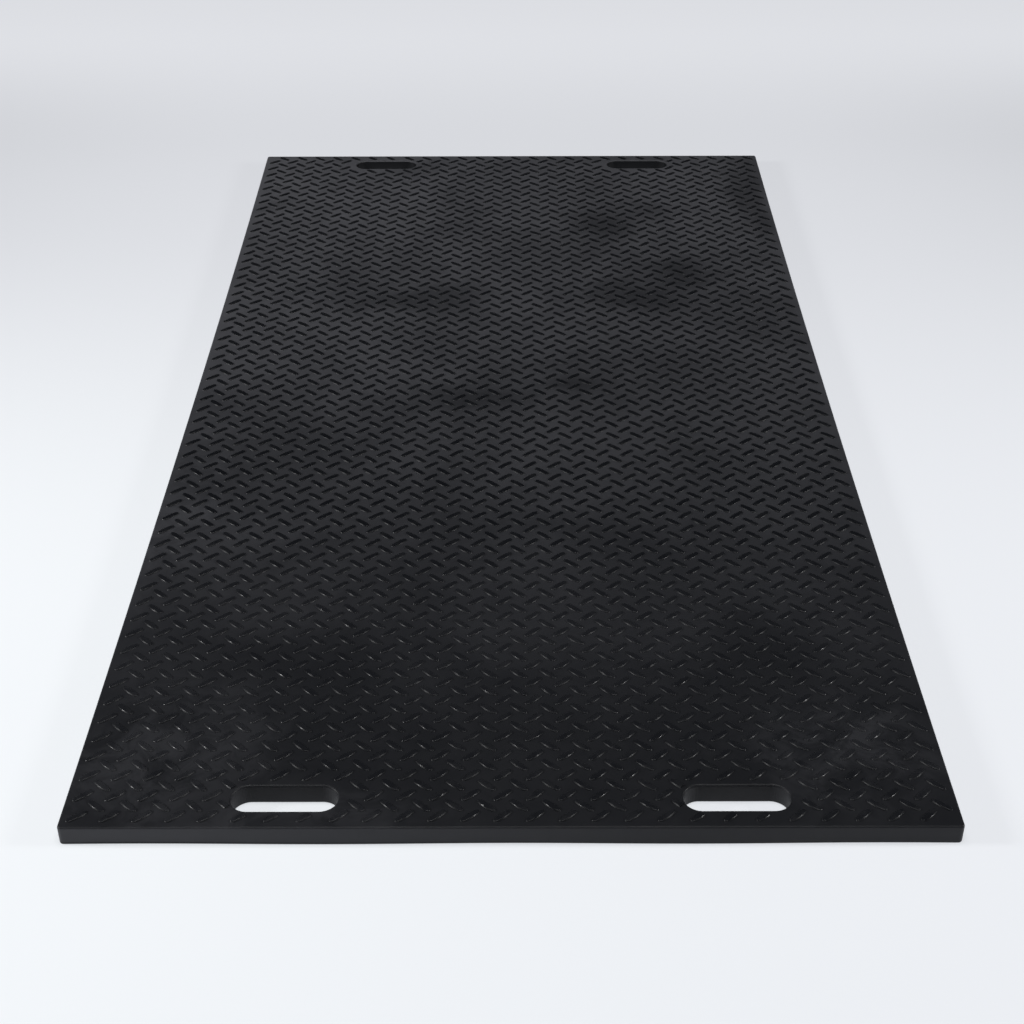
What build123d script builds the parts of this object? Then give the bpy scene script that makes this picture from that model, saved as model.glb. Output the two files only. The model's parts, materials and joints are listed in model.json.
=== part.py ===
"""Ground protection mat: one moulded slab with four hand slots and a raised diamond tread.

Millimetres. X runs across the mat, Y along it and Z up. The origin is on the ground, at the
centre of the underside.
"""

from build123d import *
from math import atan2, degrees, hypot
import os

os.makedirs("parts", exist_ok=True)

# Slab
mat_width = 1200.0
mat_length = 2400.0
slab_thickness = 30.0
corner_radius = 6.0
top_edge_radius = 3.0
bottom_edge_chamfer = 1.5

# Hand slots, one pair beside each short end
slot_length = 145.0
slot_width = 50.0
slot_spacing = 610.0
slot_end_distance = 58.0
slot_rim_chamfer = 2.5

# Tread bars, which lean right and left in turn
bar_pitch_x = 84.0
bar_pitch_y = 82.0
bar_width = 15.0
bar_height = 2.0
bar_tip_gap = 1.0
edge_margin = 10.0
rim_margin = 8.0

slot_spacing_y = mat_length - 2 * slot_end_distance

# A bar reaches from one column and row of the pattern to the next, less the gap at its tips.
bar_reach_x = bar_pitch_x / 4 - bar_tip_gap / 2
bar_reach_y = bar_pitch_y / 4 - bar_tip_gap / 2
bar_length = 2 * hypot(bar_reach_x, bar_reach_y)
bar_lean = degrees(atan2(bar_reach_y, bar_reach_x))

# A longer or wider mat has more bars of the same size.
bar_columns = int((mat_width - 2 * edge_margin) // bar_pitch_x)
bar_rows = int((mat_length - 2 * edge_margin) // bar_pitch_y)


def clear_of_slots(x, y):
    """True where a bar's whole reach stays on flat ground, a margin away from every slot."""
    clear_x = slot_length / 2 + rim_margin + bar_reach_x
    clear_y = slot_width / 2 + rim_margin + bar_reach_y
    beside_x = abs(abs(x) - slot_spacing / 2) >= clear_x
    beside_y = abs(abs(y) - slot_spacing_y / 2) >= clear_y
    return beside_x or beside_y


def bar_places(shift_x, shift_y, lean):
    """Where the bars of one lean stand on the slab: a grid, moved by the shift from the centre."""
    places = []
    for spot in GridLocations(bar_pitch_x, bar_pitch_y, bar_columns, bar_rows):
        x = spot.position.X + shift_x
        y = spot.position.Y + shift_y
        if clear_of_slots(x, y):
            places.append(Location((x, y, slab_thickness), (0, 0, lean)))
    return places


# The slab: rounded corners, through slots, and softened edges all round
with BuildPart() as slab:
    with BuildSketch():
        RectangleRounded(mat_width, mat_length, corner_radius)
        with GridLocations(slot_spacing, slot_spacing_y, 2, 2):
            SlotOverall(slot_length, slot_width, mode=Mode.SUBTRACT)
    extrude(amount=slab_thickness)
    top_face = slab.faces().sort_by(Axis.Z)[-1]
    bottom_edges = slab.faces().sort_by(Axis.Z)[0].outer_wire().edges()
    rim_edges = [edge for rim in top_face.inner_wires() for edge in rim.edges()]
    fillet(top_face.outer_wire().edges(), top_edge_radius)
    chamfer(rim_edges, slot_rim_chamfer)
    chamfer(bottom_edges, bottom_edge_chamfer)

# One tread bar, lying along X: a rhombic foot that rises to a peak
with BuildPart() as bar:
    with BuildSketch() as foot:
        with BuildLine():
            Polyline(
                (bar_length / 2, 0),
                (0, bar_width / 2),
                (-bar_length / 2, 0),
                (0, -bar_width / 2),
                close=True,
            )
        make_face()
    loft(sections=[foot.sketch.face(), Vertex(0, 0, bar_height)])

# The mat: the slab with its tread, where the two leans stand half a pitch apart both ways
right_leaning = bar_places(-bar_pitch_x / 4, -bar_pitch_y / 4, bar_lean)
left_leaning = bar_places(bar_pitch_x / 4, bar_pitch_y / 4, -bar_lean)
with BuildPart() as mat:
    add(slab.part)
    with Locations(*right_leaning, *left_leaning):
        add(bar.part)

mat.part.label = "mat"
export_step(mat.part, "parts/mat.step")
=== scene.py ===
"""Dresses the ground protection mat: its full moulded tread, worn black plastic and a pale studio.

Metres, in the part's own frame: X across the mat, Y along it, Z up, with the ground at Z = 0.
"""

import json
import math
import random

import bmesh
import bpy
from mathutils import Matrix, Vector


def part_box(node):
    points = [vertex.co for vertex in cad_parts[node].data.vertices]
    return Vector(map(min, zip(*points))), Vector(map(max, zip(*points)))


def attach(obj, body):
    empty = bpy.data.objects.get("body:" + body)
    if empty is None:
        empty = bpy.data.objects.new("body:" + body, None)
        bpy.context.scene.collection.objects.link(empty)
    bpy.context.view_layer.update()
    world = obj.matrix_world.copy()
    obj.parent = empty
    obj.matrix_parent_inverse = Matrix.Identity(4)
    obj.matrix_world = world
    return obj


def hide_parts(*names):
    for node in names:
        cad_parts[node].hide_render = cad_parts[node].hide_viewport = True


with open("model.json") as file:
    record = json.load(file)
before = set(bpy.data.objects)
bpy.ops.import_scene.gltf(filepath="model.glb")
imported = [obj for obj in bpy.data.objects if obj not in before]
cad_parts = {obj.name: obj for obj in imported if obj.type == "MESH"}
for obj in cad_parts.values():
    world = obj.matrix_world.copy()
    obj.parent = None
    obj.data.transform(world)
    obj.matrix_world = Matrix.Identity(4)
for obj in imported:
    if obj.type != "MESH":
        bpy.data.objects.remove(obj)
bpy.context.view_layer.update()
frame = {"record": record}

# The mat, from the frame
low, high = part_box("mat")
mat_width = high.x - low.x
mat_length = high.y - low.y
mat_top = high.z
hand_slots = next(m for m in frame["record"]["mounts"] if m["name"] == "hand_slots")
slot_length = hand_slots["dims"]["slot_length_mm"] / 1000
slot_width = hand_slots["dims"]["hole_r_mm"] * 2 / 1000
slot_spacing_x = hand_slots["dims"]["spacing_x_mm"] / 1000
slot_spacing_y = hand_slots["dims"]["spacing_y_mm"] / 1000

# Moulded form
corner_radius = 0.006
top_edge_radius = 0.003
rim_radius = 0.003
foot_edge_radius = 0.0015
side_bow = 0.0059
foot_wave = 0.002
foot_wave_pitch = 0.492

# Tread bars
bar_pitch_x = 0.0436
bar_pitch_y = 0.0410
bar_columns = 27
bar_rows = 58
bar_length = 0.0330
bar_width = 0.0108
bar_height = 0.0020
bar_sink = 0.0003
bar_lean = math.radians(44)
tread_shift_y = 0.001
rim_margin = 0.007
shortest_stub = 0.015
slab_top = mat_top - bar_height

# Wear on the top, as centre x, y and reach x, y: wiped or damp darker patches, and paler dusty ones
wiped_patches = (
    (-0.20, 0.40, 0.20, 0.10),
    (0.26, 0.41, 0.15, 0.11),
    (0.20, 0.80, 0.13, 0.16),
    (-0.08, -0.04, 0.18, 0.10),
    (0.11, 0.01, 0.12, 0.07),
    (0.56, 0.95, 0.08, 0.30),
    (0.38, 0.54, 0.09, 0.08),
    (-0.34, -0.82, 0.18, 0.14),
    (0.38, -0.80, 0.16, 0.14),
)
dusty_patches = (
    (-0.50, -1.05, 0.22, 0.24),
    (-0.30, -1.19, 0.30, 0.06),
    (0.48, -1.04, 0.20, 0.18),
    (-0.56, -0.45, 0.14, 0.34),
)

# Studio
floor_colour = (0.85, 0.875, 0.905, 1)
# The floor's glow colours are painted light: darker to the right, far off and far to the sides as painted
# shade, and paler behind the mat as a painted pool of light.
left_floor_colour = (0.82, 0.85, 0.875, 1)
right_floor_shade_colour = (0.73, 0.745, 0.785, 1)
far_floor_shade_colour = (0.67, 0.680, 0.72, 1)
far_side_floor_shade_colour = (0.56, 0.570, 0.605, 1)
back_floor_light_colour = (0.82, 0.832, 0.875, 1)
floor_glow = 0.7
floor_gap = 0.0005
horizon_colour = (0.70, 0.71, 0.755, 1)
studio_colour = (0.045, 0.047, 0.052, 1)

# Camera, at the photograph's angle
camera_place = Vector((0.0059, -2.9402, 1.6360))
camera_lens = 62.185
camera_pitch = math.radians(32.589)
camera_yaw = math.radians(0.100)
camera_roll = math.radians(-0.162)


def new_object(name, mesh):
    """A mesh linked to the scene as an object at the origin."""
    thing = bpy.data.objects.new(name, mesh)
    bpy.context.scene.collection.objects.link(thing)
    return thing


def mesh_from(shape, name):
    """Writes a bmesh to a new mesh and frees it."""
    mesh = bpy.data.meshes.new(name)
    shape.to_mesh(mesh)
    shape.free()
    return mesh


def slot_centres():
    """The four hand slots' centres on the ground plan."""
    return [
        Vector((side * slot_spacing_x / 2, end * slot_spacing_y / 2, 0))
        for end in (-1, 1)
        for side in (-1, 1)
    ]


# Slab

def add_outline(shape):
    """The mat's rounded outline, with points along its sides so that they can bow."""
    bmesh.ops.create_grid(shape, x_segments=1, y_segments=1, size=0.5)
    bmesh.ops.scale(shape, vec=(mat_width, mat_length, 1), verts=shape.verts)
    bmesh.ops.bevel(
        shape,
        geom=shape.verts[:],
        affect="VERTICES",
        offset=corner_radius,
        segments=5,
        profile=0.5,
        material=-1,
    )
    long_sides = [edge for edge in shape.edges if edge.calc_length() > mat_width / 2]
    bmesh.ops.subdivide_edges(shape, edges=long_sides, cuts=23)
    bmesh.ops.delete(shape, geom=shape.faces[:], context="FACES_ONLY")


def add_slot(shape, centre):
    """One hand slot's outline: a ring drawn out along X until its ends are half rounds."""
    steps = 40
    ring = bmesh.ops.create_circle(shape, segments=steps, radius=slot_width / 2)["verts"]
    half_step = Matrix.Rotation(math.pi / steps, 4, "Z")
    bmesh.ops.transform(shape, matrix=half_step, verts=ring)
    straight = (slot_length - slot_width) / 2
    for vert in ring:
        vert.co.x += math.copysign(straight, vert.co.x)
        vert.co += centre


def is_rim(edge):
    """True for an edge of a hand slot, False for one of the mat's own outline."""
    middle = (edge.verts[0].co + edge.verts[1].co) / 2
    inset = 2 * corner_radius
    return abs(middle.x) < mat_width / 2 - inset and abs(middle.y) < mat_length / 2 - inset


def round_edges(shape, edges, radius, segments):
    bmesh.ops.bevel(
        shape,
        geom=edges,
        affect="EDGES",
        offset=radius,
        segments=segments,
        profile=0.5,
        material=-1,
    )


def slab_mesh():
    """The flat slab: outline and slots filled, drawn up to its thickness, and its edges rounded."""
    shape = bmesh.new()
    add_outline(shape)
    for centre in slot_centres():
        add_slot(shape, centre)
    bmesh.ops.triangle_fill(shape, use_beauty=True, edges=shape.edges[:], normal=(0, 0, 1))
    raised = bmesh.ops.extrude_face_region(shape, geom=shape.faces[:], use_keep_orig=True)
    top = [part for part in raised["geom"] if isinstance(part, bmesh.types.BMVert)]
    bmesh.ops.translate(shape, vec=(0, 0, slab_top), verts=top)
    bmesh.ops.recalc_face_normals(shape, faces=shape.faces[:])

    def corners_at(height):
        return [
            edge
            for edge in shape.edges
            if all(abs(vert.co.z - height) < 1e-6 for vert in edge.verts)
            and edge.calc_face_angle(0) > math.radians(60)
        ]

    round_edges(shape, [e for e in corners_at(slab_top) if not is_rim(e)], top_edge_radius, 4)
    round_edges(shape, [e for e in corners_at(slab_top) if is_rim(e)], rim_radius, 4)
    round_edges(shape, corners_at(0), foot_edge_radius, 2)
    for face in shape.faces:
        face.smooth = True
    for edge in shape.edges:
        flats = [face.calc_area() > 4e-5 for face in edge.link_faces]
        edge.smooth = not any(flats)
    return mesh_from(shape, "slab")


# Tread

def bar_mesh():
    """One tread bar along X: a blunt lens of a foot, steep flanks, rounded shoulders and a flat crown."""
    shape = bmesh.new()
    ring = bmesh.ops.create_circle(shape, segments=8, radius=1)["verts"]
    for vert in ring:
        vert.co /= (abs(vert.co.x) ** 3 + abs(vert.co.y) ** 3) ** (1 / 3)
    bmesh.ops.scale(shape, vec=(bar_length / 2, bar_width / 2, 1), verts=ring)
    bmesh.ops.translate(shape, vec=(0, 0, -bar_sink), verts=ring)
    foot = shape.edges[:]
    edges = foot
    reached = (1.0, 1.0, -bar_sink)
    for along, across, rise in ((0.97, 0.82, 0.80), (0.94, 0.70, 0.96), (0.91, 0.50, 1.0)):
        raised = bmesh.ops.extrude_edge_only(shape, edges=edges)["geom"]
        edges = [part for part in raised if isinstance(part, bmesh.types.BMEdge)]
        verts = [part for part in raised if isinstance(part, bmesh.types.BMVert)]
        height = rise * bar_height
        bmesh.ops.scale(shape, vec=(along / reached[0], across / reached[1], 1), verts=verts)
        bmesh.ops.translate(shape, vec=(0, 0, height - reached[2]), verts=verts)
        reached = (along, across, height)
    bmesh.ops.contextual_create(shape, geom=foot)
    bmesh.ops.contextual_create(shape, geom=edges)
    bmesh.ops.recalc_face_normals(shape, faces=shape.faces[:])
    for face in shape.faces:
        face.smooth = True
    for edge in foot:
        edge.smooth = False
    return mesh_from(shape, "bar")


def clear_span(place, lean):
    """How far a bar can run each way from its centre before it meets a hand slot's rim.

    Returns (start, end) along the bar in metres, or None where nothing of it is left.
    """
    straight = (slot_length - slot_width) / 2
    keep_off = slot_width / 2 + rim_margin
    half = bar_length / 2
    steps = 40
    open_at = []
    for step in range(steps + 1):
        along = -half + 2 * half * step / steps
        point = place + along * lean
        inside = False
        for centre in slot_centres():
            offset = point - centre
            offset.x -= max(-straight, min(straight, offset.x))
            offset.z = 0
            inside = inside or offset.length < keep_off
        if not inside:
            open_at.append(along)
    if len(open_at) == steps + 1:
        return -half, half
    if not open_at or open_at[-1] - open_at[0] < shortest_stub:
        return None
    return open_at[0], open_at[-1]


def trimmed(mesh, start, end):
    """A copy of the bar cut square at each end that a rim stops."""
    shape = bmesh.new()
    shape.from_mesh(mesh)
    for stop, facing in ((start, -1), (end, 1)):
        if abs(stop) < bar_length / 2 - 1e-6:
            geom = shape.verts[:] + shape.edges[:] + shape.faces[:]
            cut = bmesh.ops.bisect_plane(
                shape,
                geom=geom,
                plane_co=(stop, 0, 0),
                plane_no=(facing, 0, 0),
                clear_outer=True,
            )
            rim = [part for part in cut["geom_cut"] if isinstance(part, bmesh.types.BMEdge)]
            end_face = bmesh.ops.contextual_create(shape, geom=rim)["faces"]
            for edge in rim:
                edge.smooth = False
            for face in end_face:
                face.smooth = False
    bmesh.ops.recalc_face_normals(shape, faces=shape.faces[:])
    return mesh_from(shape, "bar_stub")


def add_tread(shape):
    """Every tread bar: the two leans stand in turn, half a pitch apart both ways."""
    whole = bar_mesh()
    chance = random.Random(11)
    for lean_side in (1, -1):
        angle = lean_side * bar_lean
        lean = Vector((math.cos(angle), math.sin(angle), 0))
        for column in range(bar_columns):
            for row in range(bar_rows):
                x = (column - (bar_columns - 1) / 2) * bar_pitch_x - lean_side * bar_pitch_x / 4
                y = (row - (bar_rows - 1) / 2) * bar_pitch_y - lean_side * bar_pitch_y / 4
                place = Vector((x, y + tread_shift_y, 0))
                wear = chance.uniform(0.84, 0.93)
                twist = chance.gauss(0, math.radians(1.2))
                roll = chance.uniform(-1, 1) * math.radians(2.5)
                span = clear_span(place, lean)
                if span is None:
                    continue
                if span[1] - span[0] < bar_length - 1e-6:
                    bar = trimmed(whole, *span)
                else:
                    bar = whole.copy()
                set_down = Matrix.Translation(place + Vector((0, 0, slab_top)))
                turned = Matrix.Rotation(angle + twist, 4, "Z") @ Matrix.Rotation(roll, 4, "X")
                bar.transform(set_down @ turned @ Matrix.Diagonal((1, 1, wear, 1)))
                shape.from_mesh(bar)
                bpy.data.meshes.remove(bar)
    bpy.data.meshes.remove(whole)


def warp(mesh):
    """Draws the long sides in a little towards mid length, and waves the near end's lower edge."""
    for vert in mesh.vertices:
        along = vert.co.y / (mat_length / 2)
        vert.co.x *= 1 - (1 - along ** 2) * side_bow / (mat_width / 2)
        if along < -0.99:
            wave = (1 + math.cos(2 * math.pi * vert.co.x / foot_wave_pitch)) / 2
            vert.co.y += foot_wave * wave * (1 - vert.co.z / mat_top)


def build_mat():
    slab = slab_mesh()
    shape = bmesh.new()
    shape.from_mesh(slab)
    add_tread(shape)
    bpy.data.meshes.remove(slab)
    mesh = mesh_from(shape, "tread_mat")
    warp(mesh)
    return new_object("tread_mat", mesh)


# Materials

def new_material(name):
    """A node material with only its output and one Principled BSDF."""
    material = bpy.data.materials.new(name)
    material.use_nodes = True
    tree = material.node_tree
    tree.nodes.clear()
    output = tree.nodes.new("ShaderNodeOutputMaterial")
    shader = tree.nodes.new("ShaderNodeBsdfPrincipled")
    tree.links.new(shader.outputs["BSDF"], output.inputs["Surface"])
    return material, tree, shader


def place_noise(tree, coordinates, scale, detail=3.0, roughness=0.55, distortion=0.0):
    noise = tree.nodes.new("ShaderNodeTexNoise")
    noise.inputs["Scale"].default_value = scale
    noise.inputs["Detail"].default_value = detail
    noise.inputs["Roughness"].default_value = roughness
    noise.inputs["Distortion"].default_value = distortion
    tree.links.new(coordinates, noise.inputs["Vector"])
    return noise.outputs["Fac"]


def remap(tree, value, from_low, from_high, to_low=0.0, to_high=1.0, smooth=True):
    """Maps a value from one range to another, clamped at both ends."""
    node = tree.nodes.new("ShaderNodeMapRange")
    node.interpolation_type = "SMOOTHSTEP" if smooth else "LINEAR"
    node.inputs["From Min"].default_value = from_low
    node.inputs["From Max"].default_value = from_high
    node.inputs["To Min"].default_value = to_low
    node.inputs["To Max"].default_value = to_high
    tree.links.new(value, node.inputs["Value"])
    return node.outputs["Result"]


def combine(tree, operation, first, second):
    """A Math node on two values, each a socket or a number."""
    node = tree.nodes.new("ShaderNodeMath")
    node.operation = operation
    for socket, value in zip(node.inputs, (first, second)):
        if isinstance(value, (int, float)):
            socket.default_value = value
        else:
            tree.links.new(value, socket)
    return node.outputs[0]


def mix_colours(tree, factor, first, second):
    node = tree.nodes.new("ShaderNodeMix")
    node.data_type = "RGBA"
    tree.links.new(factor, node.inputs["Factor"])
    for socket, value in ((node.inputs["A"], first), (node.inputs["B"], second)):
        if isinstance(value, bpy.types.NodeSocket):
            tree.links.new(value, socket)
        else:
            socket.default_value = value
    return node.outputs["Result"]


def mix_values(tree, factor, first, second):
    """Blends two masks by a third."""
    node = tree.nodes.new("ShaderNodeMix")
    tree.links.new(factor, node.inputs["Factor"])
    tree.links.new(first, node.inputs["A"])
    tree.links.new(second, node.inputs["B"])
    return node.outputs["Result"]


def soft_patches(tree, spot, patches):
    """A mask that is 1 in the middle of each patch and fades to 0 at its rim."""
    total = None
    for x, y, reach_x, reach_y in patches:
        placed = tree.nodes.new("ShaderNodeMapping")
        placed.vector_type = "TEXTURE"
        placed.inputs["Location"].default_value = (x, y, 0)
        placed.inputs["Scale"].default_value = (reach_x, reach_y, 1)
        tree.links.new(spot, placed.inputs["Vector"])
        distance = tree.nodes.new("ShaderNodeVectorMath")
        distance.operation = "LENGTH"
        tree.links.new(placed.outputs["Vector"], distance.inputs[0])
        patch = remap(tree, distance.outputs["Value"], 1.0, 0.15)
        total = patch if total is None else combine(tree, "MAXIMUM", total, patch)
    return total


def product(tree, first, *others):
    """Several masks multiplied together."""
    for other in others:
        first = combine(tree, "MULTIPLY", first, other)
    return first


def fading(tree, mask, share):
    """1 where the mask is 0, and less by this share where it is 1."""
    return remap(tree, mask, 0.0, 1.0, 1.0, 1.0 - share, smooth=False)


def drifted(tree, spot, scale, reach):
    """Coordinates pushed about by a soft noise, which gives what they place uneven rims."""
    waves = tree.nodes.new("ShaderNodeTexNoise")
    waves.inputs["Scale"].default_value = scale
    waves.inputs["Detail"].default_value = 3.0
    tree.links.new(spot, waves.inputs["Vector"])
    centred = tree.nodes.new("ShaderNodeVectorMath")
    centred.operation = "SUBTRACT"
    centred.inputs[1].default_value = (0.5, 0.5, 0.5)
    tree.links.new(waves.outputs["Color"], centred.inputs[0])
    pushed = tree.nodes.new("ShaderNodeVectorMath")
    pushed.operation = "MULTIPLY_ADD"
    pushed.inputs[1].default_value = (reach, reach, 0)
    tree.links.new(centred.outputs["Vector"], pushed.inputs[0])
    tree.links.new(spot, pushed.inputs[2])
    return pushed.outputs["Vector"]


def black_plastic():
    """Black moulded plastic: a grey dust layer on the flats, with wiped and dusty patches in it, and bars
    with worn crests. The layer grows paler towards the far end, which is painted sheen, and is a little
    paler towards the left. The bars shed it, a little at the near end and almost wholly towards the far
    end: clean worn bars, with painted shade on the far ones. The outer sides are paler, more so towards
    the left, with a painted contact shadow along the foot, and the walls below the top grow paler towards
    the near end, a painted reflection of the pale floor."""
    material, tree, shader = new_material("black_plastic")
    spot = tree.nodes.new("ShaderNodeTexCoord").outputs["Object"]
    split = tree.nodes.new("ShaderNodeSeparateXYZ")
    tree.links.new(spot, split.inputs["Vector"])
    across, along, height = (split.outputs[axis] for axis in "XYZ")
    on_bar = remap(tree, height, slab_top + 0.0001, slab_top + 0.0006)
    crest = remap(tree, height, slab_top + 0.0009, slab_top + 0.0014)
    below_top = remap(tree, height, slab_top - 0.0005, slab_top - top_edge_radius)
    from_middle = combine(tree, "ABSOLUTE", across, 0)
    from_centre = combine(tree, "ABSOLUTE", along, 0)
    long_side = remap(tree, from_middle, mat_width / 2 - 0.012, mat_width / 2 - 0.008)
    short_side = remap(tree, from_centre, mat_length / 2 - 0.008, mat_length / 2 - 0.004)
    outer_side = product(tree, combine(tree, "MAXIMUM", long_side, short_side), below_top)

    blotches = place_noise(tree, spot, 3.2, 4.0, 0.6, 0.5)
    smears = place_noise(tree, spot, 14.0, 5.0, 0.65, 0.8)
    rubs = place_noise(tree, spot, 45.0, 3.0, 0.6, 0.4)
    around = drifted(tree, spot, 5.0, 0.22)
    # Grey dust layer: real dust in its blotches, smears and wiped patches. Its rise towards the far end
    # is painted sheen, the grazing reflection of the pale floor beyond, and it is a little paler towards
    # the left.
    dust_and_painted_light = product(
        tree,
        remap(tree, blotches, 0.30, 0.62, 0.66, 1.0),
        remap(tree, smears, 0.30, 0.70, 0.84, 1.0),
        remap(tree, along, -1.0, 1.0, 0.09, 1.0, smooth=False),
        remap(tree, across, -0.6, 0.6, 1.0, 0.80, smooth=False),
        fading(tree, soft_patches(tree, around, wiped_patches), 0.45),
    )
    streaks = remap(tree, smears, 0.38, 0.62, 0.02, 0.14)
    dusty = product(tree, soft_patches(tree, around, dusty_patches), streaks)
    # Bars shed the dust layer, a little at the near end and almost wholly towards the far end: clean worn
    # bars, with painted shade on the far ones.
    clean_and_shaded_bars = product(tree, on_bar, remap(tree, along, -1.0, -0.4, 0.20, 0.96))
    dust_and_painted_light = combine(tree, "ADD", dust_and_painted_light, dusty)
    dust_and_painted_light = product(tree, dust_and_painted_light, fading(tree, clean_and_shaded_bars, 1.0), fading(tree, below_top, 0.95))
    # The outer sides' tone fades out near the ground: a painted contact shadow along the foot.
    above_foot_shadow = remap(tree, height, 0.0020, 0.0055)
    # The outer sides are paler towards the left.
    side_tone_across = remap(tree, across, -0.6, 0.3, 0.56, 0.22)
    outer_side_tone = product(tree, outer_side, above_foot_shadow, side_tone_across)
    # Walls below the top grow paler towards the near end: a painted reflection of the pale floor.
    painted_wall_reflection = product(tree, below_top, remap(tree, along, -1.0, 0.0, 0.22, 0.0))
    dust_and_painted_light = combine(tree, "ADD", dust_and_painted_light, combine(tree, "MAXIMUM", outer_side_tone, painted_wall_reflection))
    colour = mix_colours(tree, dust_and_painted_light, (0.0028, 0.0032, 0.0042, 1), (0.0680, 0.0685, 0.0755, 1))
    tree.links.new(colour, shader.inputs["Base Color"])

    rough = remap(tree, smears, 0.25, 0.75, 0.42, 0.50)
    on_crest = remap(tree, rubs, 0.38, 0.60, 0.16, 0.45)
    rough = mix_values(tree, crest, rough, on_crest)
    tree.links.new(rough, shader.inputs["Roughness"])
    grain = place_noise(tree, spot, 700.0, 2.0)
    bump = tree.nodes.new("ShaderNodeBump")
    bump.inputs["Strength"].default_value = 0.2
    bump.inputs["Distance"].default_value = 0.0002
    tree.links.new(grain, bump.inputs["Height"])
    tree.links.new(bump.outputs["Normal"], shader.inputs["Normal"])
    shader.inputs["IOR"].default_value = 1.5
    shader.inputs["Specular IOR Level"].default_value = 0.15
    return material


def studio_floor():
    """Pale seamless floor, clear from below. Where the camera or a gloss sees it, most of its paleness
    is its own, and far from the mat all of it, so that it runs into the horizon. That paleness is painted
    darker to the right, far off and far to the sides, as painted shade, and paler behind the mat, as a
    painted pool of light."""
    material, tree, shader = new_material("studio_floor")
    shader.inputs["Base Color"].default_value = floor_colour
    shader.inputs["Roughness"].default_value = 0.9
    shader.inputs["Specular IOR Level"].default_value = 0.1
    glow = tree.nodes.new("ShaderNodeEmission")
    spot = tree.nodes.new("ShaderNodeTexCoord").outputs["Object"]
    split = tree.nodes.new("ShaderNodeSeparateXYZ")
    tree.links.new(spot, split.inputs["Vector"])
    # Painted shade: the glow darkens to the right, far off and far to the sides; a painted pool of light
    # makes it paler again behind the mat.
    side = remap(tree, split.outputs["X"], -1.2, 1.2)
    near = mix_colours(tree, side, left_floor_colour, right_floor_shade_colour)
    aside = remap(tree, combine(tree, "ABSOLUTE", split.outputs["X"], 0), 0.6, 1.9)
    far = mix_colours(tree, aside, far_floor_shade_colour, far_side_floor_shade_colour)
    depth = remap(tree, split.outputs["Y"], -0.7, 0.9)
    front_to_far = mix_colours(tree, depth, near, far)
    backdrop = remap(tree, split.outputs["Y"], 1.3, 2.3)
    around_mat = mix_colours(tree, backdrop, front_to_far, back_floor_light_colour)
    distance = tree.nodes.new("ShaderNodeVectorMath")
    distance.operation = "LENGTH"
    tree.links.new(spot, distance.inputs[0])
    away = remap(tree, distance.outputs["Value"], 3.2, 5.0)
    tree.links.new(mix_colours(tree, away, around_mat, horizon_colour), glow.inputs["Color"])
    glow_share = remap(tree, away, 0.0, 1.0, floor_glow, 1.0, smooth=False)
    rays = tree.nodes.new("ShaderNodeLightPath")
    seen = combine(tree, "MAXIMUM", rays.outputs["Is Camera Ray"], rays.outputs["Is Glossy Ray"])
    seen = combine(tree, "MAXIMUM", seen, rays.outputs["Is Transmission Ray"])
    both = tree.nodes.new("ShaderNodeMixShader")
    tree.links.new(combine(tree, "MULTIPLY", seen, glow_share), both.inputs[0])
    tree.links.new(shader.outputs["BSDF"], both.inputs[1])
    tree.links.new(glow.outputs["Emission"], both.inputs[2])
    from_below = tree.nodes.new("ShaderNodeNewGeometry").outputs["Backfacing"]
    one_sided = tree.nodes.new("ShaderNodeMixShader")
    tree.links.new(from_below, one_sided.inputs[0])
    tree.links.new(both.outputs[0], one_sided.inputs[1])
    tree.links.new(tree.nodes.new("ShaderNodeBsdfTransparent").outputs["BSDF"], one_sided.inputs[2])
    output = next(node for node in tree.nodes if node.type == "OUTPUT_MATERIAL")
    tree.links.new(one_sided.outputs[0], output.inputs["Surface"])
    return material


# Studio

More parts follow.
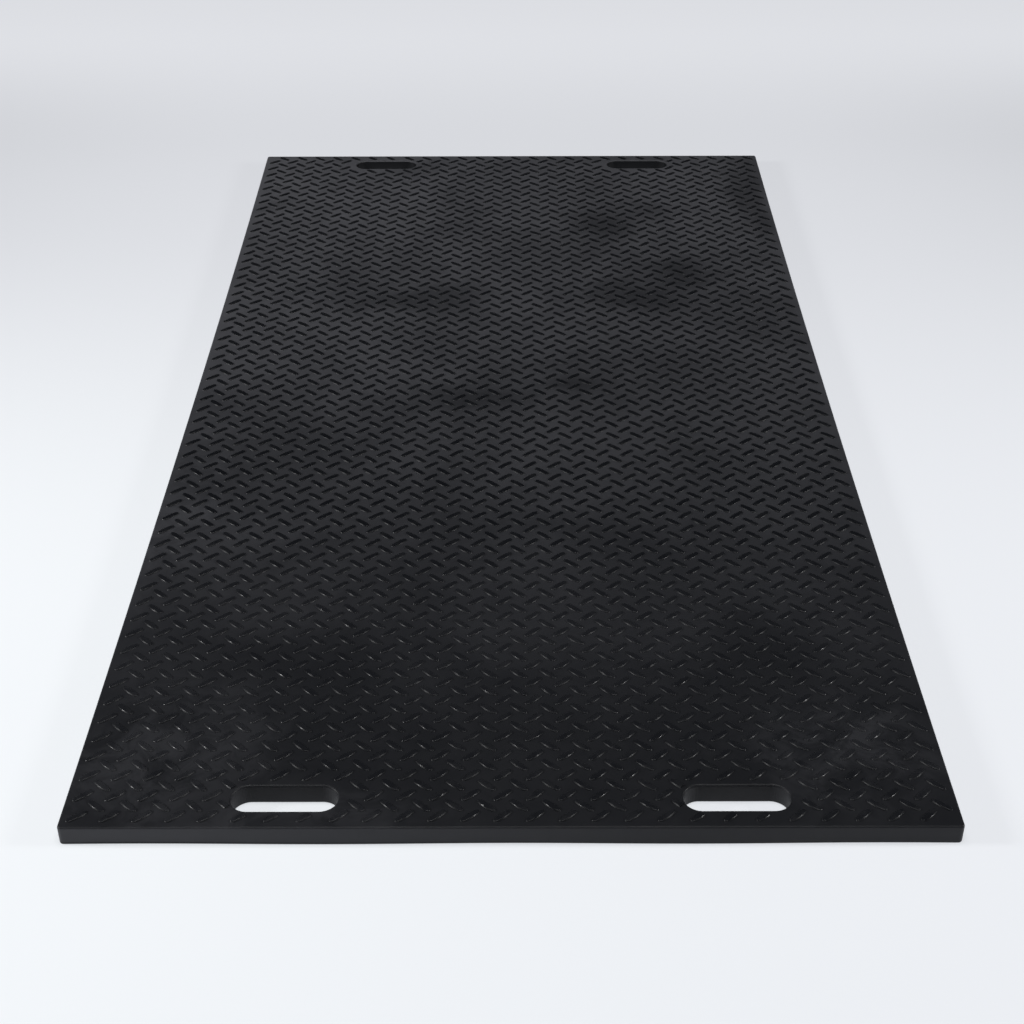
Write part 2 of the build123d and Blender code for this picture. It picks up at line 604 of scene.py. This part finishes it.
def build_floor():
    shape = bmesh.new()
    bmesh.ops.create_grid(shape, x_segments=1, y_segments=1, size=40)
    bmesh.ops.translate(shape, vec=(0, 0, -floor_gap), verts=shape.verts)
    floor = new_object("studio_floor", mesh_from(shape, "studio_floor"))
    floor.data.materials.append(studio_floor())


def build_world():
    """Dim studio walls above a pale horizon."""
    world = bpy.data.worlds.new("studio_world")
    bpy.context.scene.world = world
    world.use_nodes = True
    tree = world.node_tree
    background = tree.nodes["Background"]
    direction = tree.nodes.new("ShaderNodeTexCoord").outputs["Generated"]
    split = tree.nodes.new("ShaderNodeSeparateXYZ")
    tree.links.new(direction, split.inputs["Vector"])
    height = remap(tree, split.outputs["Z"], 0.02, 0.12)
    sky = mix_colours(tree, height, horizon_colour, studio_colour)
    tree.links.new(sky, background.inputs["Color"])
    background.inputs["Strength"].default_value = 1.0


def softbox(name, place, target, width, height, power):
    """A square soft light that faces its target."""
    light = bpy.data.lights.new(name, "AREA")
    light.shape = "RECTANGLE"
    light.size = width
    light.size_y = height
    light.energy = power
    lamp = bpy.data.objects.new(name, light)
    bpy.context.scene.collection.objects.link(lamp)
    lamp.location = place
    lamp.rotation_euler = (Vector(target) - Vector(place)).to_track_quat("-Z", "Y").to_euler()


def build_lights():
    softbox("overhead_softbox", (0, -1.5, 5.0), (0, -0.3, 0), 3.0, 3.0, 190)
    softbox("left_softbox", (-4.0, -1.1, 1.8), (0, -0.6, 0), 0.75, 0.75, 150)
    softbox("right_softbox", (4.0, -1.1, 1.8), (0, -0.6, 0), 0.75, 0.75, 105)


def build_camera():
    camera = bpy.data.cameras.new("photo_camera")
    camera.sensor_width = 36
    camera.lens = camera_lens
    camera.clip_end = 60
    viewer = bpy.data.objects.new("photo_camera", camera)
    bpy.context.scene.collection.objects.link(viewer)
    viewer.matrix_world = (
        Matrix.Translation(camera_place)
        @ Matrix.Rotation(camera_yaw, 4, "Z")
        @ Matrix.Rotation(math.pi / 2 - camera_pitch, 4, "X")
        @ Matrix.Rotation(camera_roll, 4, "Z")
    )
    bpy.context.scene.camera = viewer


mat = build_mat()
mat.data.materials.append(black_plastic())
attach(mat, "root")
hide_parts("mat")

build_floor()
build_world()
build_lights()
build_camera()
bpy.context.scene.view_settings.view_transform = "Standard"
